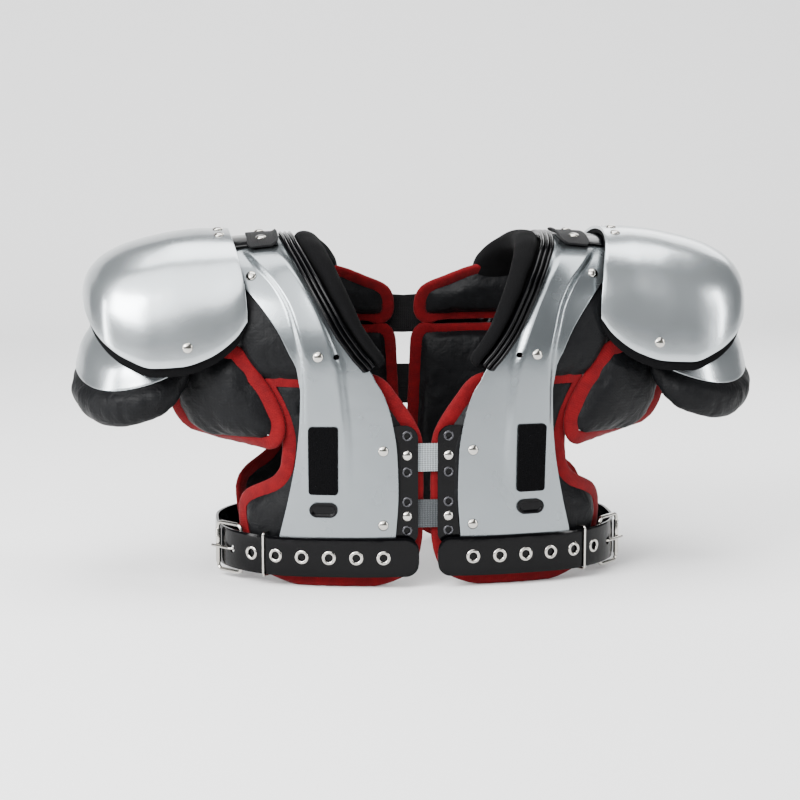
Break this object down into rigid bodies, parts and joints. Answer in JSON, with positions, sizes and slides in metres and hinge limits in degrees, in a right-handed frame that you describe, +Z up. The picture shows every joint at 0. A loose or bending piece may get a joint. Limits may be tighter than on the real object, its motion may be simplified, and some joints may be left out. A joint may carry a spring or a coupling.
{
  "type": "football shoulder pad",
  "caption": "Football shoulder pads with silver arch shells, shoulder caps, arm flaps, quilted black pads bound in red, lacing plates and buckled belts",
  "frame": {"origin": "on the floor under the middle of the outline", "axes": "+X to the right as the set is seen from the front, the front faces -Y, +Z up"},
  "size_m": [0.6802, 0.246, 0.3399],
  "materials": {
    "silver_shell": "glossy silver moulded plastic",
    "black_vinyl": "glossy black vinyl strap",
    "black_foam": "matte black covered foam",
    "black_nylon": "puckered black nylon over foam",
    "red_tape": "red woven binding tape",
    "black_webbing": "matte black webbing",
    "grey_elastic": "grey woven elastic",
    "nickel": "polished nickel"
  },
  "bodies": {
    "root": {"arch_shell_left": "silver_shell", "arch_shell_right": "silver_shell", "cap_shell_left": "silver_shell", "cap_shell_right": "silver_shell", "flap_shell_left": "silver_shell", "flap_shell_right": "silver_shell", "neck_trim_left": "black_vinyl", "neck_trim_right": "black_vinyl", "hinge_strap_left": "black_vinyl", "hinge_strap_right": "black_vinyl", "belt_left": "black_vinyl", "belt_right": "black_vinyl", "belt_tab_left": "black_vinyl", "belt_tab_right": "black_vinyl", "lace_plate_left": "black_vinyl", "lace_plate_right": "black_vinyl", "oval_plug_left": "black_vinyl", "oval_plug_right": "black_vinyl", "neck_pad_left": "black_foam", "neck_pad_right": "black_foam", "cap_lining_left": "black_foam", "cap_lining_right": "black_foam", "chest_pad_left": "black_nylon", "chest_pad_right": "black_nylon", "shoulder_pad_left": "black_nylon", "shoulder_pad_right": "black_nylon", "nape_pad_left": "black_nylon", "nape_pad_right": "black_nylon", "back_pad_left": "black_nylon", "back_pad_right": "black_nylon", "flap_pad_left": "black_nylon", "flap_pad_right": "black_nylon", "armhole_pad_left": "black_nylon", "armhole_pad_right": "black_nylon", "chest_binding_left": "red_tape", "chest_binding_right": "red_tape", "nape_binding_left": "red_tape", "nape_binding_right": "red_tape", "back_binding_left": "red_tape", "back_binding_right": "red_tape", "armhole_binding_left": "red_tape", "armhole_binding_right": "red_tape", "hook_patch_left": "black_webbing", "hook_patch_right": "black_webbing", "flap_strap_left": "black_webbing", "flap_strap_right": "black_webbing", "buckle_frame_left": "nickel", "buckle_frame_right": "nickel", "buckle_prong_left": "nickel", "buckle_prong_right": "nickel", "belt_keeper_left": "nickel", "belt_keeper_right": "nickel", "rivet_centre_left": "nickel", "rivet_centre_right": "nickel", "rivet_chest_left": "nickel", "rivet_chest_right": "nickel", "front_elastic_upper": "grey_elastic", "front_elastic_lower": "grey_elastic", "back_webbing_upper": "black_webbing", "back_webbing_lower": "black_webbing"}
  },
  "joints": []
}
